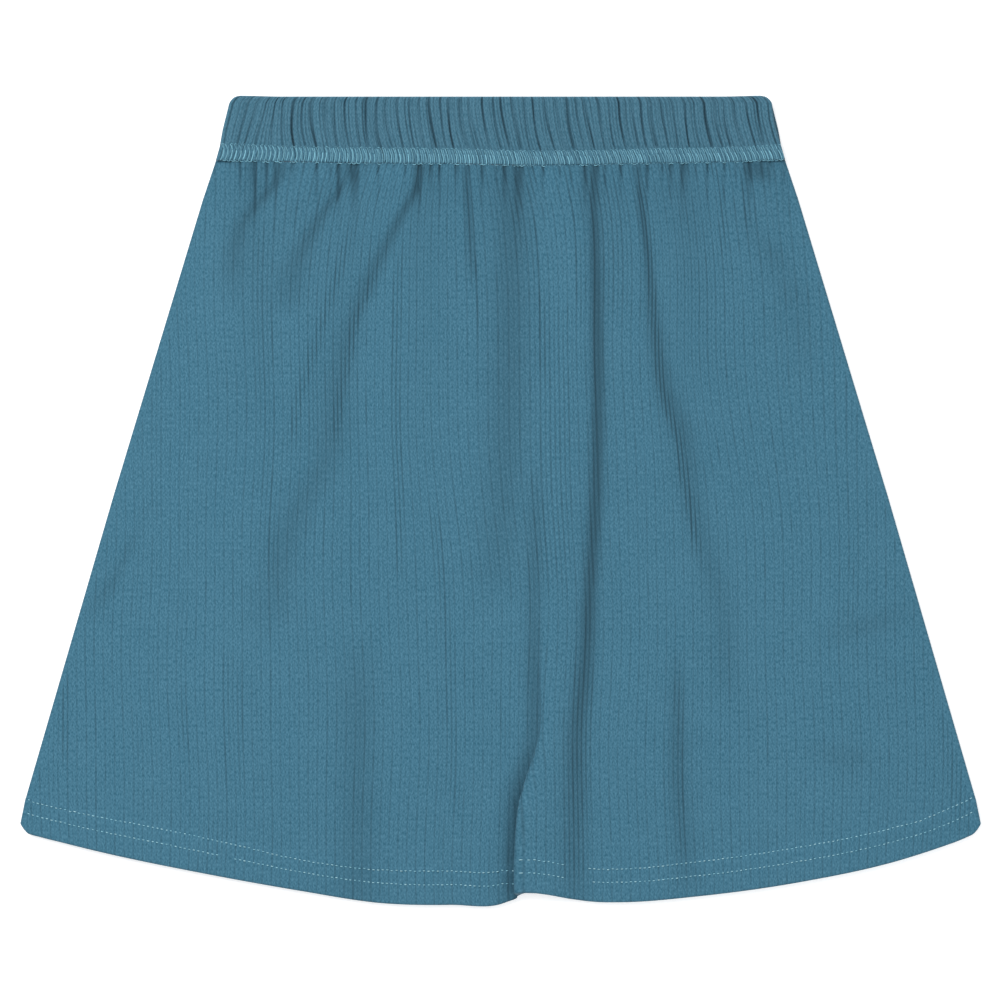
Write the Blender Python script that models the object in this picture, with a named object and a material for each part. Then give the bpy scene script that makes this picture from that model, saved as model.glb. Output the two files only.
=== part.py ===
"""A child's a-line skirt in fine rib knit, lying flat on its back panel.

The front of the skirt faces +Z, the waistband is towards +Y, and the origin is on the
surface under the middle of the outline. The tables below give places in millimetres:
"across" from the middle line towards +X, "down" from the waistband's top edge.
"""
import bmesh
import bpy
import numpy as np

MM = 0.001

# Outline
LENGTH = 405.35
BAND_DEPTH = 33.5
SEAM_GAP = 0.3
BAND_CORNER = 4.0
HEM_CORNER = 5.0
HEM_HALF_WIDTH = 240.3

# Cloth
CLOTH = 1.2
PILE_GAP = 0.3
BAND_THICK = 3.0
HEM_ALLOWANCE = 16.5
HEM_EXTRA = 0.7
RIB_PITCH = 2.3
RIB_HEIGHT = 0.35
EDGE_ROUND = 1.4
EDGE_RIM = 0.4
BACK_INSET = 0.4
RIBS_START = 1.5
HEM_STEP_RAMP = 1.5

# Half of the flat width, from the waistband's top edge to the hem
SIDES = {
    "down": (0.0, 5.0, 17.0, 25.5, 33.5, 52.0, 200.0, 352.0, 375.0),
    "half_width": (135.2, 136.0, 139.0, 140.5, 142.8, 149.0, 193.7, 237.8, 242.5),
}

# The hem's edge; the small step at +6 to +12 is where the main fold laps over
HEM = {
    "across": (-240, -220, -200, -150, -100, -60, -25, 4, 8, 12, 30, 60, 100, 150, 200, 220, 240),
    "down": (368.5, 373.2, 378, 388.5, 397.5, 403.6, 404.5, 403, 401, 398.6, 400.6, 403.2,
             400, 393, 382, 375.5, 368.5),
}

# The line where the band's seam ends and the panels begin
WAIST_LINE = {"across": (-143.0, 0.0, 143.0), "down": (32.5, 34.0, 31.7)}

# How far the wales are drawn aside by the gathers, at the seam and 80 mm below it
DRAWN = {
    "across": (-150, -120, -95, -70, -45, -20, 0, 25, 50, 75, 95, 115, 140, 160, 180, 200),
    "at_seam": (0, 3, 11, 9, 2, -7, -12, -12, -9, -10, -14, -18, -19, -13, -5, 0),
    "below": (0, 1, 0, -3, -5, -9, -7, -3, -3, -3, -7, -11, -11, -7, -2, 0),
}
DRAWN_BELOW = 80.0
DRAWN_END = 235.0

# Folds of the front panel, each with its points from the top down. "rise" is the height of
# a ridge, or below zero the depth of a valley, and "half" is its half width.
FOLDS = (
    ("lapped ridge", {
        "down": (36, 88, 152, 202, 252, 292, 327, 362, 405),
        "across": (36, 36, 34, 31, 28, 26, 23.5, 23, 22.5),
        "rise": (0.8, 1.3, 1.7, 2.2, 2.6, 3.0, 3.2, 3.3, 3.3),
        "half": (10, 10, 10, 11, 12, 12, 12.5, 13.5, 14.5),
    }),
    ("main valley", {
        "down": (36, 88, 200, 247, 288, 324, 349, 375, 405),
        "across": (46.5, 48, 48, 45, 42.5, 38, 38.5, 38, 38),
        "rise": (-0.8, -1.0, -1.2, -1.2, -1.2, -1.2, -1.1, -0.9, -0.6),
        "half": (5, 5.5, 6, 6, 6, 6, 6, 7, 8),
    }),
    ("lap line", {
        "down": (180, 196, 247, 295, 327, 352, 375, 405),
        "across": (19, 18, 17, 15, 12, 8, 5.5, 5),
        "rise": (0, -0.4, -0.7, -0.8, -1.0, -1.1, -1.1, -1.1),
        "half": (5, 5, 5, 5, 5, 6, 6, 7),
    }),
    ("left ridge", {
        "down": (35, 43, 75, 120, 184, 228, 260),
        "across": (-56, -62, -78, -97, -109, -122, -130),
        "rise": (1.0, 1.8, 2.2, 2.2, 1.8, 1.2, 0),
        "half": (10, 11, 13, 14, 15, 16, 17),
    }),
    ("left valley", {
        "down": (36, 66, 91, 120, 148, 184, 212, 252, 280),
        "across": (-39.5, -52.5, -65, -76, -81, -87.5, -103, -113, -118),
        "rise": (-1.0, -1.1, -1.1, -1.1, -1.0, -1.0, -0.9, -0.6, 0),
        "half": (6, 6, 6, 6, 6, 7, 8, 9, 10),
    }),
    ("second left valley", {
        "down": (35, 66, 78, 100, 115),
        "across": (-65, -94, -101.5, -105, -106),
        "rise": (-0.9, -1.0, -0.9, -0.5, 0),
        "half": (5, 6, 6, 7, 8),
    }),
    ("outer left valley", {
        "down": (36, 66, 85, 110),
        "across": (-109.5, -132, -133.5, -134),
        "rise": (-0.9, -0.9, -0.7, 0),
        "half": (6, 6, 6, 7),
    }),
    ("outer left ridge", {
        "down": (35, 60, 85, 120, 150),
        "across": (-88, -112, -120, -124, -126),
        "rise": (0.9, 1.3, 1.2, 0.8, 0),
        "half": (10, 11, 12, 13, 14),
    }),
    ("short valley", {
        "down": (36, 60, 85, 100),
        "across": (-16.5, -16, -15.5, -15),
        "rise": (-0.8, -0.7, -0.5, 0),
        "half": (5, 5, 6, 6),
    }),
    ("middle valley", {
        "down": (36, 120, 184, 240, 262),
        "across": (6.5, 5, 2, -2, -4),
        "rise": (-0.7, -0.8, -0.7, -0.4, 0),
        "half": (7, 9, 10, 11, 12),
    }),
    ("right valley", {
        "down": (36, 82, 113, 148, 170, 196, 222, 256, 290, 315),
        "across": (66, 72, 77, 83, 91, 94.5, 101, 110.5, 113.5, 115),
        "rise": (-0.9, -0.8, -0.9, -0.9, -0.8, -0.7, -0.6, -0.5, -0.4, 0),
        "half": (5, 5, 6, 6, 6, 6, 6, 7, 7, 8),
    }),
    ("right ridge", {
        "down": (35, 80, 130, 180, 230, 280),
        "across": (84, 92, 101, 110, 120, 128),
        "rise": (0.8, 1.1, 1.1, 0.9, 0.6, 0),
        "half": (10, 12, 13, 14, 15, 16),
    }),
    ("low right valley", {
        "down": (270, 300, 349, 390),
        "across": (87, 88.5, 89.5, 93),
        "rise": (0, -0.7, -0.8, -0.5),
        "half": (6, 6, 7, 8),
    }),
    ("low left valley", {
        "down": (262, 290, 340, 400),
        "across": (-71, -71.5, -71.5, -71.5),
        "rise": (0, -0.5, -0.6, -0.6),
        "half": (8, 9, 9, 10),
    }),
)

# Drag folds that run across the panel near its sides, from their outer to their inner end
DRAGS = (
    ("right drag", {"across": (158, 185, 212), "down": (271, 265, 257), "rise": (0, -0.8, 0)}),
    ("low right drag", {"across": (145, 172, 196), "down": (328, 331, 334), "rise": (0, -0.5, 0)}),
    ("left drag", {"across": (-214, -196, -170), "down": (262, 246, 205), "rise": (0, -0.6, 0)}),
)
DRAG_HALF = 6.0
FOLD_FADE = 12.0

# The panel lies this much above the back panel away from its sides and less over the hem
PUFF = 1.3
PUFF_REACH = 26.0
HEM_PUFF = 0.65
CALM_SIDE = 9.0
SINKS_OVER = 16.0
FREE_BELOW_SEAM = 10.0

# Three layers of cloth lie on each other in the lapped ridge from here down
LAPPED_LAYERS = 2.0
LAP_FROM = 250.0
LAP_WHOLE = 340.0
LAP_HALF = 10.0

# The inner face rises no more than this: what a fold has above it is its own hidden layers
INSIDE_MOST = 3.2

# Gathers: the band's run its whole depth, the panel's die out below the seam
BAND_GATHERS = 52
BAND_GATHER_RISE = 0.9
BAND_END_SHARE = 0.12
BAND_ROUND = 1.6
BAND_END_ROUND = 0.012
BAND_END_RIM = 0.35
BAND_LEAN = {"across": (-140, -105, -75), "lean": (-9, -1, 5)}
# How much of the gathers' height is left down the band, and how far its stitched part sinks
BAND_PRESS = {"row": (0, 0.1, 0.6, 0.74, 0.8, 1), "share": (0.5, 1, 1, 0.5, 0.35, 0.5)}
BAND_SINK = {"row": (0.7, 0.76, 0.8), "depth": (0, 0.5, 0.5)}
PANEL_GATHERS = 45
PANEL_GATHER_RISE = 0.7
PANEL_GATHER_REACH = 13.0
UNEVEN_PLACE = 0.17
UNEVEN_HEIGHT = 0.27

# The back half of the band shows past the front half by this much at the +X end
BACK_SHOWS = 1.2

# Rows of each grid
PANEL_ROWS = (0, 0.015, 0.05, 0.1, 0.18, 0.28, 0.4, 0.52, 0.64, 0.76, 0.88, 0.954, 0.962, 1)
BAND_ROWS = (0, 0.03, 0.14, 0.45, 0.74, 0.8, 1)
PLAIN_COLUMNS = 40
COLUMNS_A_GATHER = 4
FRONT_INSIDE_COLUMNS = 60
FRONT_INSIDE_ROWS = (0, 2, 3, 4, 5, 6, 7, 8, 9, 10, 11, 12, 13)
BACK_INSIDE_ROWS = (0, 5, 10, 13)
BAND_INSIDE_ROWS = (0, 3, 6)
SIDE_PASSES = 12

TEAL = (0.066, 0.185, 0.262, 1.0)
BAND_TEAL = (0.058, 0.16, 0.225, 1.0)


def table(columns, at, value, reading):
    """A smooth curve through a table's points: cubic, with the slope of each point's
    neighbours, and level beyond the ends."""
    x = np.asarray(columns[at], float)
    y = np.asarray(columns[value], float)
    slope = np.gradient(y, x)
    slope[0] = slope[-1] = 0.0
    reading = np.clip(reading, x[0], x[-1])
    cell = np.clip(np.searchsorted(x, reading, side="right") - 1, 0, len(x) - 2)
    span = x[cell + 1] - x[cell]
    t = (reading - x[cell]) / span
    start = y[cell] * (1 + 2 * t) * (1 - t) ** 2 + slope[cell] * span * t * (1 - t) ** 2
    end = y[cell + 1] * t * t * (3 - 2 * t) - slope[cell + 1] * span * t * t * (1 - t)
    return start + end


def rounding(inset, radius):
    """How far a round corner lies inside its square one."""
    left = np.clip(radius - inset, 0, radius)
    return radius - np.sqrt(radius ** 2 - left ** 2)


def quarter_round(inset, radius):
    """The height, from 0 to 1, of a rounded edge at a distance in from it."""
    return np.sqrt(np.clip(1 - (1 - np.clip(inset / radius, 0, 1)) ** 2, 0, 1))


def half_width(down):
    straight = np.interp(down, SIDES["down"], SIDES["half_width"])
    return straight - rounding(down, BAND_CORNER)


def hem_line(across):
    edge = table(HEM, "across", "down", across)
    return edge - rounding(HEM_HALF_WIDTH - np.abs(across), HEM_CORNER)


def waist_line(across):
    return table(WAIST_LINE, "across", "down", across)


def side_of(top_line, bottom_line, row, sign):
    """Where a row of a piece meets the slanted side."""
    across = np.full_like(row, sign * HEM_HALF_WIDTH)
    for _ in range(SIDE_PASSES):
        down = top_line(across) * (1 - row) + bottom_line(across) * row
        across = sign * half_width(down)
    return across


def wale(start, below_seam):
    """Where the wale that hangs at "start" lies at a depth below the seam: drawn aside
    most at the seam, and straight from DRAWN_END down."""
    near = table(DRAWN, "across", "at_seam", start)
    far = table(DRAWN, "across", "below", start)
    t = np.clip(below_seam / DRAWN_BELOW, 0, 1)
    upper = near + (far - near) * (2 * t - t * t)
    s = np.clip((below_seam - DRAWN_BELOW) / (DRAWN_END - DRAWN_BELOW), 0, 1)
    return start + upper * (1 - s * s * (3 - 2 * s))


def bump(distance, half):
    """A soft ridge: 1 on its line, 0.4 at its half width and near 0 at twice that."""
    return np.exp(-0.9 * (distance / half) ** 2)


def fold_height(across, down):
    """The sum of the folds' ridges and valleys at a place."""
    height = np.zeros_like(across)
    for _, fold in FOLDS:
        line = table(fold, "down", "across", down)
        rise = table(fold, "down", "rise", down)
        inside = np.clip(1 - (fold["down"][0] - down) / FOLD_FADE, 0, 1)
        inside = inside * np.clip(1 - (down - fold["down"][-1]) / FOLD_FADE, 0, 1)
        half = table(fold, "down", "half", down)
        height += rise * inside * bump(across - line, half)
    for _, drag in DRAGS:
        line = table(drag, "across", "down", across)
        rise = table(drag, "across", "rise", across)
        height += rise * bump(down - line, DRAG_HALF)
    return height


def lap_share(across, down):
    """1 on the lapped ridge near the hem, where three layers lie on each other."""
    ridge = FOLDS[0][1]
    line = table(ridge, "down", "across", down)
    near_hem = np.clip((down - LAP_FROM) / (LAP_WHOLE - LAP_FROM), 0, 1)
    return near_hem * bump(across - line, LAP_HALF)


def uneven(number, amount):
    """An unevenness that repeats only after many gathers."""
    slow = 0.5 * np.sin(number * 0.9)
    return amount * (np.sin(number * 2.4) + 0.7 * np.sin(number * 5.3 + 1) + slow)


def gathered(number):
    """A wave with one crest for each gather, uneven in place and height."""
    wave = np.cos(2 * np.pi * (number + uneven(number, UNEVEN_PLACE)))
    return wave * (1 + uneven(number, UNEVEN_HEIGHT))


def hem_step(above_hem):
    """1 on the turned-up allowance, 0 above it."""
    return np.clip((HEM_ALLOWANCE - above_hem) / HEM_STEP_RAMP + 1, 0, 1)


def back_top(above_hem):
    return CLOTH + HEM_EXTRA * hem_step(above_hem)


def front_inside(across, down, most=INSIDE_MOST):
    """The front panel's inner face: it leaves the band at the band's height, sinks on to
    the back panel and rises over its folds, at most by "most"."""
    above_hem = hem_line(across) - down
    from_side = half_width(down) - np.abs(across)
    rest = back_top(above_hem) + PILE_GAP
    below_seam = np.clip(down - waist_line(across), 0, None)
    lifted = (BAND_THICK + PILE_GAP - rest) * np.exp(-(below_seam / SINKS_OVER) ** 1.5)
    free = 1 - np.exp(-(np.clip(from_side, 0, None) / PUFF_REACH) ** 2)
    near_side = 1 - np.exp(-(np.clip(from_side, 0, None) / CALM_SIDE) ** 2)
    puff = PUFF * free * (1 - (1 - HEM_PUFF) * hem_step(above_hem))
    body = np.clip(puff + fold_height(across, down) * near_side, 0.0, most)
    body = body * np.clip(below_seam / FREE_BELOW_SEAM, 0.25, 1)
    return rest + np.clip(lifted * near_side, 0, None) + body


def front_outside(across, down, start, clear):
    """The inner face raised by the cloth, the hem's second layer, the ribs and gathers."""
    above_hem = hem_line(across) - down
    below_seam = np.clip(down - waist_line(across), 0, None)
    ribs = RIB_HEIGHT * 0.5 * np.cos(2 * np.pi * start / RIB_PITCH)
    number = across / half_width(waist_line(across)) * PANEL_GATHERS / 2
    gathers = PANEL_GATHER_RISE * 0.5 * gathered(number) * np.exp(-below_seam / PANEL_GATHER_REACH)
    thick = CLOTH + HEM_EXTRA * hem_step(above_hem) + LAPPED_LAYERS * lap_share(across, down)
    from_side = half_width(down) - np.abs(across)
    roundness = quarter_round(from_side, EDGE_ROUND)
    thick = EDGE_RIM + (thick - EDGE_RIM) * roundness
    under = front_inside(across, down, np.inf)
    return under + thick + (ribs * clear + gathers * roundness)


def closed_wall(name, outer, inner, rows, columns, material):
    """One closed body from a fine outer grid and an inner grid that has only the named rows
    and columns of it, joined round the edge by a polygon for each inner cell."""
    high, wide = outer.shape[:2]
    points = [tuple(p) for p in outer.reshape(-1, 3) * MM]
    inside = {}
    for i in rows:
        for j in columns:
            inside[i, j] = len(points)
            points.append(tuple(inner[i, j] * MM))
    faces = []
    for i in range(high - 1):
        for j in range(wide - 1):
            a = i * wide + j
            faces.append((a, a + wide, a + wide + 1, a + 1))
    for i, lower in zip(rows, rows[1:]):
        for j, right in zip(columns, columns[1:]):
            faces.append((inside[i, j], inside[i, right], inside[lower, right], inside[lower, j]))
        left_edge = tuple(k * wide for k in range(lower, i - 1, -1))
        right_edge = tuple(k * wide + wide - 1 for k in range(i, lower + 1))
        faces.append((inside[i, columns[0]], inside[lower, columns[0]]) + left_edge)
        faces.append((inside[lower, columns[-1]], inside[i, columns[-1]]) + right_edge)
    for j, right in zip(columns, columns[1:]):
        top_edge = tuple(range(j, right + 1))
        last = (high - 1) * wide
        bottom_edge = tuple(range(last + right, last + j - 1, -1))
        faces.append((inside[rows[0], right], inside[rows[0], j]) + top_edge)
        faces.append((inside[rows[-1], j], inside[rows[-1], right]) + bottom_edge)
    mesh = bpy.data.meshes.new(name)
    mesh.from_pydata(points, [], faces)
    shape = bmesh.new()
    shape.from_mesh(mesh)
    bmesh.ops.remove_doubles(shape, verts=shape.verts, dist=2e-6)
    shape.to_mesh(mesh)
    shape.free()
    mesh.materials.append(material)
    piece = bpy.data.objects.new(name, mesh)
    bpy.context.scene.collection.objects.link(piece)
    return piece


def placed(across, down, height):
    """Points in millimetres in the part's own frame."""
    return np.stack((across, LENGTH / 2 - down, height), axis=-1)


def knit(name, colour, roughness):
    material = bpy.data.materials.new(name)
    material.use_nodes = True
    shader = material.node_tree.nodes["Principled BSDF"]
    shader.inputs["Base Color"].default_value = colour
    shader.inputs["Roughness"].default_value = roughness
    shader.inputs["Metallic"].default_value = 0.0
    return material


def panel_grid(columns):
    """Rows from the waist line to the hem, columns along the wales, both cut by the sides."""
    row = np.asarray(PANEL_ROWS, float)

    def top(across):
        return waist_line(across) + SEAM_GAP

    left = side_of(top, hem_line, row, -1)[:, None]
    right = side_of(top, hem_line, row, 1)[:, None]
    row = row[:, None]
    below = row * (LENGTH - BAND_DEPTH)
    inner_left = left + EDGE_ROUND
    inner_right = right - EDGE_ROUND
    across = np.clip(wale(columns[None, :], below), inner_left, inner_right)
    clear = np.clip(np.minimum(across - inner_left, inner_right - across) / RIBS_START, 0, 1)
    part_way = 0.3 * EDGE_ROUND
    across = np.hstack((left, left + part_way, across, right - part_way, right))
    clear = np.pad(clear, ((0, 0), (2, 2)))
    start = np.tile(np.pad(columns, 2), (len(row), 1))
    down = top(across) * (1 - row) + hem_line(across) * row
    return across, down, start, clear


def spread(count, parts):
    """Evenly spaced indexes from the first to the last."""
    return sorted(set(int(round(k)) for k in np.linspace(0, count - 1, parts)))


def front_panel(material):
    half_ribs = int(HEM_HALF_WIDTH / (RIB_PITCH / 2)) - 1
    columns = np.arange(-half_ribs, half_ribs + 1) * RIB_PITCH / 2
    across, down, start, clear = panel_grid(columns)
    outer = placed(across, down, front_outside(across, down, start, clear))
    inner = placed(across, down, front_inside(across, down))
    inside_columns = spread(across.shape[1], FRONT_INSIDE_COLUMNS)
    closed_wall("front_panel", outer, inner, FRONT_INSIDE_ROWS, inside_columns, material)


def back_panel(material):
    columns = np.linspace(-HEM_HALF_WIDTH + 2, HEM_HALF_WIDTH - 2, PLAIN_COLUMNS)
    across, down, _, _ = panel_grid(columns)
    across = across * (1 - BACK_INSET / HEM_HALF_WIDTH)
    height = back_top(hem_line(across) - down)
    outer = placed(across, down, height)
    inner = placed(across, down, np.zeros_like(height))
    inside_columns = spread(across.shape[1], PLAIN_COLUMNS // 3)
    closed_wall("back_panel", outer, inner, BACK_INSIDE_ROWS, inside_columns, material)


def band_grid(columns, overhang):
    """Rows down the band, columns from side to side, leaning as the gathers do."""
    row = np.asarray(BAND_ROWS, float)[:, None]
    share = columns[None, :]
    middle = share * half_width(waist_line(0.0))
    lean = np.interp(middle, BAND_LEAN["across"], BAND_LEAN["lean"])
    lean = lean * np.clip((1 - np.abs(share)) / BAND_END_SHARE, 0, 1)
    down = row * waist_line(middle)
    across = share * half_width(down) + overhang * np.clip(share, 0, 1) + lean * (row - 0.5)
    return across, down, row, share


def band_face(row, share):
    """The band's outer face above its mid height: a rounded top edge and the gathers,
    pressed down along the seam."""
    edge = quarter_round(row * BAND_DEPTH, BAND_ROUND)
    side = quarter_round(1 - np.abs(share), BAND_END_ROUND)
    pressed = np.interp(row, BAND_PRESS["row"], BAND_PRESS["share"])
    sunk = np.interp(row, BAND_SINK["row"], BAND_SINK["depth"])
    wave = 0.5 * (gathered(share * BAND_GATHERS / 2) + 0.6)
    body = BAND_THICK / 2 - sunk + BAND_GATHER_RISE * wave * pressed
    return body * edge * (BAND_END_RIM + (1 - BAND_END_RIM) * side)


def waistband_front(material):
    """The half on top: its inner face is plain, its outer face carries the gathers."""
    share = np.linspace(-1, 1, BAND_GATHERS * COLUMNS_A_GATHER + 1)
    near_end = 1 - BAND_END_ROUND / 3
    share = np.sort(np.append(share, (-near_end, near_end)))
    across, down, row, share = band_grid(share, 0.0)
    level = BAND_THICK + PILE_GAP
    inner = np.full_like(across, level)
    outer = level + BAND_THICK / 2 + band_face(row, share)
    columns = spread(across.shape[1], BAND_GATHERS // 2)
    closed_wall("waistband_front", placed(across, down, outer), placed(across, down, inner),
                BAND_INSIDE_ROWS, columns, material)


def waistband_back(material):
    """The half that the skirt lies on: plain, and seen only past the front half's end."""
    across, down, _, _ = band_grid(np.linspace(-1, 1, PLAIN_COLUMNS + 1), BACK_SHOWS)
    outer = np.full_like(across, BAND_THICK)
    columns = spread(across.shape[1], PLAIN_COLUMNS // 4)
    closed_wall("waistband_back", placed(across, down, outer), placed(across, down, 0 * outer),
                BAND_INSIDE_ROWS, columns, material)


def main():
    for old in list(bpy.data.objects):
        bpy.data.objects.remove(old)
    body = knit("rib knit", TEAL, 0.85)
    band = knit("gathered rib knit", BAND_TEAL, 0.85)
    back_panel(body)
    front_panel(body)
    waistband_back(band)
    waistband_front(band)


main()
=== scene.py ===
"""The finish of a child's a-line skirt in fine rib knit, laid flat and seen from above.

The cloth of both panels and of the gathered waistband, the flat seam's threads and the
hem's two needle rows are surfaces worked out from the sizes and tables below. Places in
the tables are in millimetres: "across" from the middle line towards +X, "down" from the
waistband's top edge towards the hem.
"""

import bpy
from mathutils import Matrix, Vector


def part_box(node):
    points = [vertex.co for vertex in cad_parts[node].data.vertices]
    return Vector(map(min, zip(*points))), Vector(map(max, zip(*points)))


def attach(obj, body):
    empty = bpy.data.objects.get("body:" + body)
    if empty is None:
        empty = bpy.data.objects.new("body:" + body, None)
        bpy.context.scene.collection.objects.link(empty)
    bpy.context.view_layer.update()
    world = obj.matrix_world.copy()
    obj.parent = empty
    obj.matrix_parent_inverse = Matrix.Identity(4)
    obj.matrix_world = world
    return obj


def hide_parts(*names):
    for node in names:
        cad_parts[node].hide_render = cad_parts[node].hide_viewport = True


bl_info = {
    "name": "Rib knit a-line skirt",
    "version": (1, 0, 0),
    "blender": (4, 5, 0),
    "location": "View3D > Sidebar > Skirt",
    "description": "Builds a flat-laid knit skirt with its folds, gathers and stitching",
    "category": "Add Mesh",
}

import bmesh
import bpy
import numpy as np
from bpy.props import (
    FloatProperty,
    FloatVectorProperty,
    IntProperty,
    PointerProperty,
)

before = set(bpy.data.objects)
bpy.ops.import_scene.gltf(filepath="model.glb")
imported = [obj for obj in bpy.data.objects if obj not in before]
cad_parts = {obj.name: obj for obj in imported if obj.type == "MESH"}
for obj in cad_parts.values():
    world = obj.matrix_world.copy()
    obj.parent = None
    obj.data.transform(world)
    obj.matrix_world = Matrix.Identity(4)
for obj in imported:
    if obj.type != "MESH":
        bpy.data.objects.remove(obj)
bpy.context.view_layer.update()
PANEL_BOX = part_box("front_panel")
BAND_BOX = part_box("waistband_front")
BACK_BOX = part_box("back_panel")
BACK_BAND_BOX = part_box("waistband_back")

MM = 0.001
TURN = 2 * np.pi

# Most tables hold rows of numbers: the places first, then what they give there. This one
# gives half of the flat width, from the waistband's top edge down to the hem
SIDES = ((0.0, 5.0, 17.0, 25.5, 33.5, 52.0, 200.0, 352.0, 375.0),
         (135.2, 136.0, 139.0, 140.5, 142.8, 149.0, 193.7, 237.8, 242.5))
BAND_CORNER = 5.0
TOP_SAG = 0.4
HEM_CORNER = 4.5

# How far down the hem's edge lies from side to side; the small step at +6 to +12 is where
# the main fold laps over
HEM = ((-240, -236, -230, -220, -200, -150, -100, -60, -25, 3, 6, 8.5, 11.5, 15, 22, 35, 47,
        60, 100, 150, 200, 220, 230, 236, 240),
       (367.2, 369.2, 370.9, 373.4, 378.3, 388.7, 397.7, 403.8, 404.7, 403.3, 401.9, 400, 398.7,
        398.5, 399.2, 401.7, 403.2, 403.4, 400.3, 393.3, 382.3, 375.9, 372.3, 369.6, 367.4))

# How far down the band's seam ends from side to side
WAIST_LINE = ((-143, -115, -71, -26, 13, 46, 80, 114, 143),
              (32.0, 32.6, 33.5, 33.8, 34.6, 34.2, 33.5, 32.9, 31.6))
SEAM_GAP = 0.3

# The hem's needle rows: how high above the edge, how much of the rise below they take, and
# from where to where they don't show
NEEDLE_ROWS = ((16.5, 1.0, ((33.0, 43.5), (6.6, 11.0))),
               (10.1, 0.6, ((32.0, 46.5), (6.6, 11.0), (-140.5, -134))))

# How much higher than usual the needle rows run from side to side
STITCH_RISE = ((-240, -220, -169, -130, -100, -60, 60, 110, 150, 200, 213, 225, 240),
               (0, 0, 1.5, 0.4, -0.9, 0, 0, 0.7, 0.8, 0.3, 0.1, 1.0, 2.2))

# The foot of the lap on the hem's edge, up to which the needle rows keep their level
LAP_FOOT = 7.2
LAP_FOOT_DOWN = 404.2

# How far a hem stitch strays, its length as a share of the pitch, and its thickness as a
# share of the thread's
STITCH_STRAYS = 0.12
STITCH_LONG = (0.32, 0.45)
STITCH_THICK = (0.62, 0.88)

# How far aside of its place a seam stroke's upper end, middle and lower end lie, and how
# tall it is for its kind
SEAM_HALF = 140.2
SEAM_PLACES = (-140, -100, -40, 40, 140)
SEAM_HIGH = (-0.5, -0.7, -0.9, -1.2, -1.8)
SEAM_MIDDLE = (0.7, 0.5, 0.0, -0.3, -0.6)
SEAM_LOW = (-0.9, -0.5, 0.4, 0.9, 1.3)
SEAM_TALL = (1.0, 0.94, 0.92, 0.83, 0.87)

# How far a stroke's ends stray up or down and the whole stroke aside, how near to the
# skirt's side it may come, and, as shares of the thread, its thickness and its ends' dip
STROKE_STRAYS = 0.2
STROKE_STRAYS_ASIDE = 0.18
STROKE_FROM_SIDE = 0.4
STROKE_THICK = (0.8, 1.15)
STROKE_DIP = 0.7

# How far the wales are drawn aside by the gathers, at the seam and DRAWN_BELOW under it
DRAWN = ((-150, -120, -95, -70, -45, -20, 0, 25, 50, 75, 95, 115, 140, 160, 180, 200),
         (0, 3, 11, 9, 2, -7, -12, -12, -9, -10, -14, -18, -19, -13, -5, 0),
         (0, 1, 0, -3, -5, -9, -7, -3, -3, -3, -7, -11, -11, -7, -2, 0))
DRAWN_BELOW = 80.0
DRAWN_END = 235.0
WANDER_FROM = 30.0

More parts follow.
